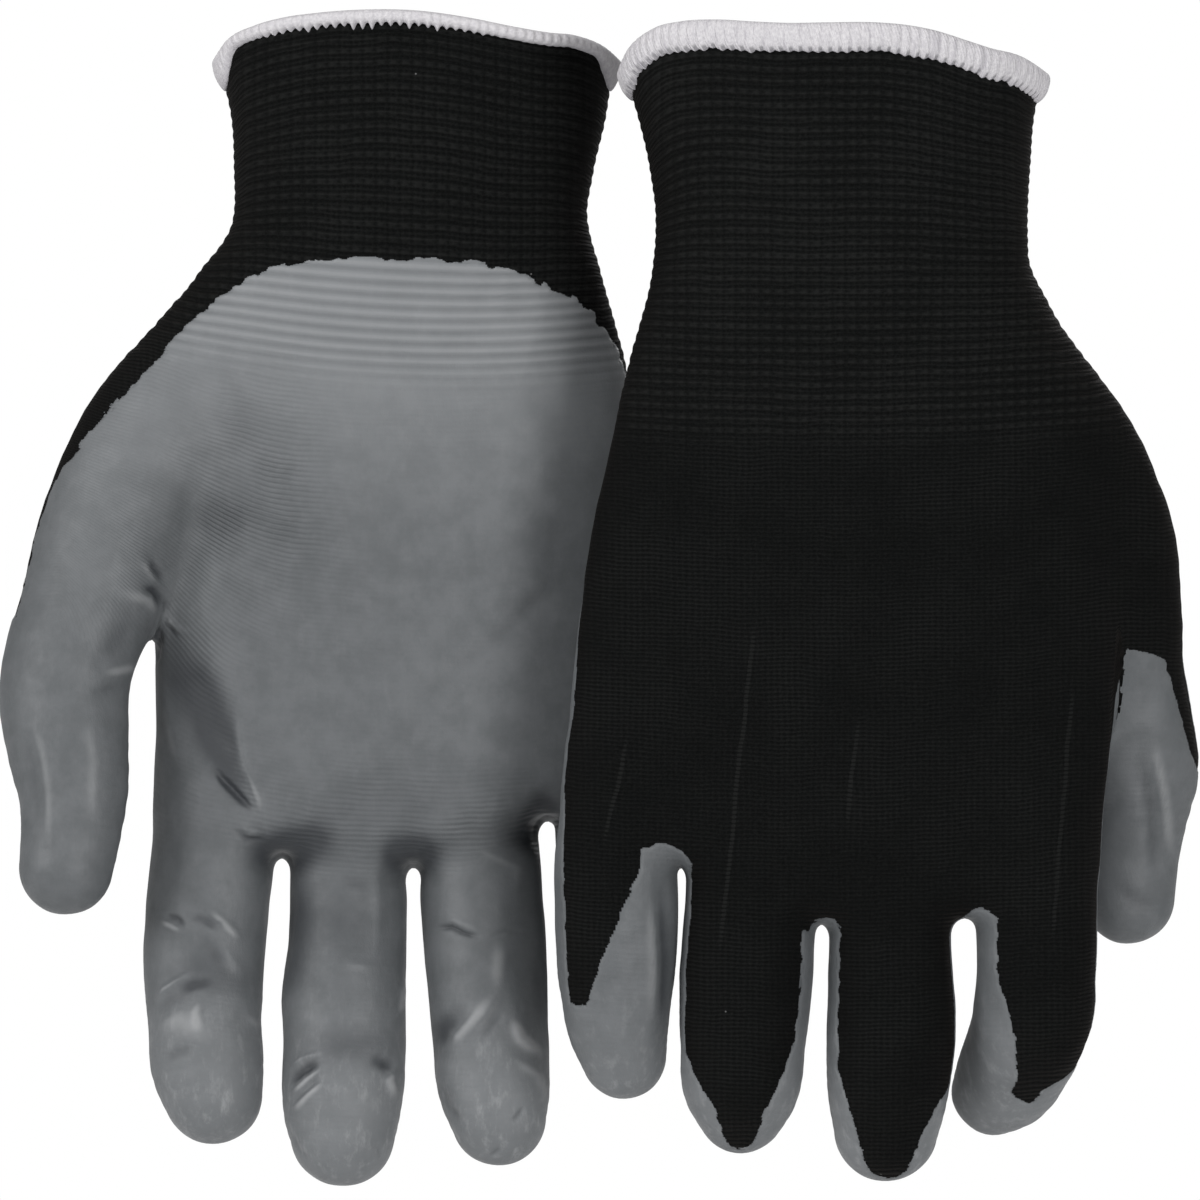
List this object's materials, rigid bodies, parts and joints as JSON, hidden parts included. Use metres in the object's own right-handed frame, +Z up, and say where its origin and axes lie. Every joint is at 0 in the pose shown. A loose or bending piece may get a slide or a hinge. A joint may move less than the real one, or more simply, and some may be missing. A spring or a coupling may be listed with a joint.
{
  "type": "work gloves",
  "caption": "Pair of seamless-knit right-hand work gloves with coated palms and fingertips, ribbed elastic cuffs and overlocked white hems.",
  "frame": {"origin": "middle of glove 1's cuff mouth, where the wearer's wrist goes in and holds the pair up", "axes": "+Z up towards the cuffs, fingers towards -Z; +X from glove 1 to glove 2; -Y is the side glove 1's palm and glove 2's back face"},
  "size_m": [0.2558, 0.0992, 0.2547],
  "materials": {
    "hem": "matt overlock thread, white with a faint lilac cast",
    "knit": "matt black fine-gauge nylon knit",
    "elastic": "matt black covered elastic yarn",
    "coating": "satin mid-grey nitrile foam"
  },
  "bodies": {
    "glove_1_hand": {"glove_1_hem": "hem", "glove_1_cuff": "knit", "glove_1_cuff_elastic": "elastic", "glove_1_hand_liner": "knit", "glove_1_palm_coating": "coating", "glove_1_finger_root_web": "knit", "glove_1_thumb_root_web": "knit"},
    "glove_1_thumb_base": {"glove_1_thumb_base_liner": "knit", "glove_1_thumb_base_coating": "coating"},
    "glove_1_thumb_tip": {"glove_1_thumb_tip_liner": "knit", "glove_1_thumb_tip_coating": "coating"},
    "glove_1_index_base": {"glove_1_index_base_liner": "knit", "glove_1_index_base_coating": "coating"},
    "glove_1_index_tip": {"glove_1_index_tip_liner": "knit", "glove_1_index_tip_coating": "coating"},
    "glove_1_middle_base": {"glove_1_middle_base_liner": "knit", "glove_1_middle_base_coating": "coating"},
    "glove_1_middle_tip": {"glove_1_middle_tip_liner": "knit", "glove_1_middle_tip_coating": "coating"},
    "glove_1_ring_base": {"glove_1_ring_base_liner": "knit", "glove_1_ring_base_coating": "coating"},
    "glove_1_ring_tip": {"glove_1_ring_tip_liner": "knit", "glove_1_ring_tip_coating": "coating"},
    "glove_1_little_base": {"glove_1_little_base_liner": "knit", "glove_1_little_base_coating": "coating"},
    "glove_1_little_tip": {"glove_1_little_tip_liner": "knit", "glove_1_little_tip_coating": "coating"},
    "glove_2_hand": {"glove_2_hem": "hem", "glove_2_cuff": "knit", "glove_2_cuff_elastic": "elastic", "glove_2_hand_liner": "knit", "glove_2_palm_coating": "coating", "glove_2_finger_root_web": "knit", "glove_2_thumb_root_web": "knit"},
    "glove_2_thumb_base": {"glove_2_thumb_base_liner": "knit", "glove_2_thumb_base_coating": "coating"},
    "glove_2_thumb_tip": {"glove_2_thumb_tip_liner": "knit", "glove_2_thumb_tip_coating": "coating"},
    "glove_2_index_base": {"glove_2_index_base_liner": "knit", "glove_2_index_base_coating": "coating"},
    "glove_2_index_tip": {"glove_2_index_tip_liner": "knit", "glove_2_index_tip_coating": "coating"},
    "glove_2_middle_base": {"glove_2_middle_base_liner": "knit", "glove_2_middle_base_coating": "coating"},
    "glove_2_middle_tip": {"glove_2_middle_tip_liner": "knit", "glove_2_middle_tip_coating": "coating"},
    "glove_2_ring_base": {"glove_2_ring_base_liner": "knit", "glove_2_ring_base_coating": "coating"},
    "glove_2_ring_tip": {"glove_2_ring_tip_liner": "knit", "glove_2_ring_tip_coating": "coating"},
    "glove_2_little_base": {"glove_2_little_base_liner": "knit", "glove_2_little_base_coating": "coating"},
    "glove_2_little_tip": {"glove_2_little_tip_liner": "knit", "glove_2_little_tip_coating": "coating"}
  },
  "joints": [
    {"name": "glove_1_thumb_root", "type": "hinge", "parent": "glove_1_hand", "child": "glove_1_thumb_base", "pos_m": [-0.07482, 0.00493, -0.147], "axis": [-0.7966, -0.5974, 0.0923], "range_deg": [-15, 40], "deforming": ["glove_1_thumb_root_web"]},
    {"name": "glove_1_thumb_middle", "type": "hinge", "parent": "glove_1_thumb_base", "child": "glove_1_thumb_tip", "pos_m": [-0.07402, 0.00107, -0.167], "axis": [-0.7972, -0.5979, 0.0829], "range_deg": [-10, 50], "deforming": ["glove_1_thumb_base_liner"]},
    {"name": "glove_1_index_root", "type": "hinge", "parent": "glove_1_hand", "child": "glove_1_index_base", "pos_m": [-0.04457, 0.01941, -0.19], "axis": [-0.9974, 0, 0.072], "range_deg": [-10, 50], "deforming": ["glove_1_finger_root_web"]},
    {"name": "glove_1_index_middle", "type": "hinge", "parent": "glove_1_index_base", "child": "glove_1_index_tip", "pos_m": [-0.04546, 0.01628, -0.213], "axis": [-1, 0, -0.0077], "range_deg": [-10, 65], "deforming": ["glove_1_index_base_liner"]},
    {"name": "glove_1_middle_root", "type": "hinge", "parent": "glove_1_hand", "child": "glove_1_middle_base", "pos_m": [-0.01514, 0.02032, -0.192], "axis": [-0.9999, 0, 0.0117], "range_deg": [-10, 50], "deforming": ["glove_1_finger_root_web"]},
    {"name": "glove_1_middle_middle", "type": "hinge", "parent": "glove_1_middle_base", "child": "glove_1_middle_tip", "pos_m": [-0.01625, 0.01576, -0.218], "axis": [-0.9999, 0, -0.0108], "range_deg": [-10, 65], "deforming": ["glove_1_middle_base_liner"]},
    {"name": "glove_1_ring_root", "type": "hinge", "parent": "glove_1_hand", "child": "glove_1_ring_base", "pos_m": [0.01433, 0.0203, -0.191], "axis": [-0.9991, 0, -0.042], "range_deg": [-10, 50], "deforming": ["glove_1_finger_root_web"]},
    {"name": "glove_1_ring_middle", "type": "hinge", "parent": "glove_1_ring_base", "child": "glove_1_ring_tip", "pos_m": [0.01624, 0.01615, -0.216], "axis": [-0.9975, 0, -0.0703], "range_deg": [-10, 65], "deforming": ["glove_1_ring_base_liner"]},
    {"name": "glove_1_little_root", "type": "hinge", "parent": "glove_1_hand", "child": "glove_1_little_base", "pos_m": [0.04073, 0.02345, -0.182], "axis": [-0.9986, 0, -0.0523], "range_deg": [-10, 20], "deforming": ["glove_1_finger_root_web"]},
    {"name": "glove_1_little_middle", "type": "hinge", "parent": "glove_1_little_base", "child": "glove_1_little_tip", "pos_m": [0.04142, 0.02639, -0.201], "axis": [-0.9998, 0, -0.0216], "range_deg": [-10, 45], "deforming": ["glove_1_little_base_liner"]},
    {"name": "glove_2_thumb_root", "type": "hinge", "parent": "glove_2_hand", "child": "glove_2_thumb_base", "pos_m": [0.15366, -0.00176, -0.15], "axis": [0.7671, 0.5753, 0.2838], "range_deg": [-15, 40], "deforming": ["glove_2_thumb_root_web"]},
    {"name": "glove_2_thumb_middle", "type": "hinge", "parent": "glove_2_thumb_base", "child": "glove_2_thumb_tip", "pos_m": [0.15498, 0.00096, -0.172], "axis": [0.8, 0.6, 0.0058], "range_deg": [-10, 50], "deforming": ["glove_2_thumb_base_liner"]},
    {"name": "glove_2_index_root", "type": "hinge", "parent": "glove_2_hand", "child": "glove_2_index_base", "pos_m": [0.13229, -0.02091, -0.198], "axis": [0.9999, 0, -0.0155], "range_deg": [-10, 50], "deforming": ["glove_2_finger_root_web"]},
    {"name": "glove_2_index_middle", "type": "hinge", "parent": "glove_2_index_base", "child": "glove_2_index_tip", "pos_m": [0.1313, -0.014, -0.2167], "axis": [0.9534, 0, -0.3017], "range_deg": [-10, 65], "deforming": ["glove_2_index_base_liner"]},
    {"name": "glove_2_middle_root", "type": "hinge", "parent": "glove_2_hand", "child": "glove_2_middle_base", "pos_m": [0.1019, -0.02148, -0.2], "axis": [1, 0, 0], "range_deg": [-10, 50], "deforming": ["glove_2_finger_root_web"]},
    {"name": "glove_2_middle_middle", "type": "hinge", "parent": "glove_2_middle_base", "child": "glove_2_middle_tip", "pos_m": [0.1022, -0.01768, -0.222], "axis": [0.9985, 0, -0.054], "range_deg": [-10, 65], "deforming": ["glove_2_middle_base_liner"]},
    {"name": "glove_2_ring_root", "type": "hinge", "parent": "glove_2_hand", "child": "glove_2_ring_base", "pos_m": [0.0712, -0.02093, -0.2], "axis": [0.9999, 0, -0.0134], "range_deg": [-10, 50], "deforming": ["glove_2_finger_root_web"]},
    {"name": "glove_2_ring_middle", "type": "hinge", "parent": "glove_2_ring_base", "child": "glove_2_ring_tip", "pos_m": [0.07087, -0.01681, -0.221], "axis": [0.9971, 0, -0.0762], "range_deg": [-10, 65], "deforming": ["glove_2_ring_base_liner"]},
    {"name": "glove_2_little_root", "type": "hinge", "parent": "glove_2_hand", "child": "glove_2_little_base", "pos_m": [0.0422, -0.0204, -0.189], "axis": [0.9995, 0, -0.0314], "range_deg": [-10, 20], "deforming": ["glove_2_finger_root_web"]},
    {"name": "glove_2_little_middle", "type": "hinge", "parent": "glove_2_little_base", "child": "glove_2_little_tip", "pos_m": [0.04244, -0.01736, -0.2085], "axis": [0.9987, 0, 0.0508], "range_deg": [-10, 45], "deforming": ["glove_2_little_base_liner"]},
    {"name": "gloves_apart", "type": "slide", "parent": "glove_1_hand", "child": "glove_2_hand", "axis": [1, 0, 0], "range_m": [0, 0.12]}
  ]
}
